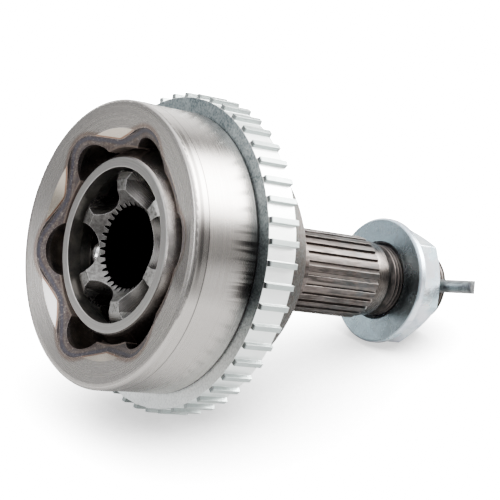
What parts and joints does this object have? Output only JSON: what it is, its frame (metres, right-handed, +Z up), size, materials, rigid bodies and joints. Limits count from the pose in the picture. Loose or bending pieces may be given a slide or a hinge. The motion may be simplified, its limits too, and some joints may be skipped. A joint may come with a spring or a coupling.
{
  "type": "constant velocity joint",
  "caption": "Fixed ball constant velocity joint for a wheel: cup with stub shaft, inner race, ball cage, balls, toothed sensor ring, flanged hub nut and split pin.",
  "frame": {"origin": "centre about which the joint bends, in the middle of the inner race's splined bore", "axes": "+X from the joint's centre along the stub shaft to the hub nut, so the open mouth faces -X; +Z up, through one of the six balls; +Y completes the right-handed frame"},
  "size_m": [0.1367, 0.1002, 0.1002],
  "materials": {
    "forged_steel": "ground, with an oiled film",
    "ring_steel": "zinc plated, matt",
    "cage_steel": "hardened and ground",
    "race_steel": "hardened, matt faces",
    "ball_steel": "polished",
    "nut_zinc": "zinc plated",
    "pin_steel": "drawn wire"
  },
  "bodies": {
    "cup": {"outer_race": "forged_steel", "abs_ring": "ring_steel"},
    "race": {"inner_race": "race_steel"},
    "cage": {"cage": "cage_steel"},
    "ball_1": {"ball_1": "ball_steel"},
    "ball_2": {"ball_2": "ball_steel"},
    "ball_3": {"ball_3": "ball_steel"},
    "ball_4": {"ball_4": "ball_steel"},
    "ball_5": {"ball_5": "ball_steel"},
    "ball_6": {"ball_6": "ball_steel"},
    "nut": {"axle_nut": "nut_zinc"},
    "pin": {"split_pin": "pin_steel"}
  },
  "joints": [
    {"name": "joint_bend", "type": "hinge", "parent": "cup", "child": "race", "pos_m": [0, 0, 0], "axis": [0, 1, 0], "range_deg": [-45, 45]},
    {"name": "cage_bend", "type": "hinge", "parent": "cup", "child": "cage", "pos_m": [0, 0, 0], "axis": [0, 1, 0], "range_deg": [-23, 23]},
    {"name": "ball_1_shift", "type": "slide", "parent": "cage", "child": "ball_1", "axis": [0, 0.8576, 0.5143], "range_m": [-0.0008, 0.0008]},
    {"name": "ball_2_shift", "type": "slide", "parent": "cage", "child": "ball_2", "axis": [0, 0, 1], "range_m": [-0.0013, 0.0013]},
    {"name": "ball_3_shift", "type": "slide", "parent": "cage", "child": "ball_3", "axis": [0, -0.8576, 0.5143], "range_m": [-0.0008, 0.0008]},
    {"name": "ball_4_shift", "type": "slide", "parent": "cage", "child": "ball_4", "axis": [0, -0.8576, -0.5143], "range_m": [-0.0008, 0.0008]},
    {"name": "ball_5_shift", "type": "slide", "parent": "cage", "child": "ball_5", "axis": [0, 0, -1], "range_m": [-0.0013, 0.0013]},
    {"name": "ball_6_shift", "type": "slide", "parent": "cage", "child": "ball_6", "axis": [0, 0.8576, -0.5143], "range_m": [-0.0008, 0.0008]},
    {"name": "nut_turn", "type": "hinge", "parent": "cup", "child": "nut", "pos_m": [0.0995, 0, 0], "axis": [1, 0, 0], "range_deg": [-860, 60]},
    {"name": "pin_slide", "type": "slide", "parent": "cup", "child": "pin", "axis": [0, 0.8934, -0.4493], "range_m": [0, 0.045]}
  ],
  "couplings": [
    {"joint": "cage_bend", "follows": "joint_bend", "ratio": 0.5},
    {"joint": "ball_1_shift", "follows": "joint_bend", "m_per_rad": -0.00095},
    {"joint": "ball_2_shift", "follows": "joint_bend", "m_per_rad": -0.00155},
    {"joint": "ball_3_shift", "follows": "joint_bend", "m_per_rad": -0.00095},
    {"joint": "ball_4_shift", "follows": "joint_bend", "m_per_rad": 0.00095},
    {"joint": "ball_5_shift", "follows": "joint_bend", "m_per_rad": 0.00155},
    {"joint": "ball_6_shift", "follows": "joint_bend", "m_per_rad": 0.00095}
  ]
}
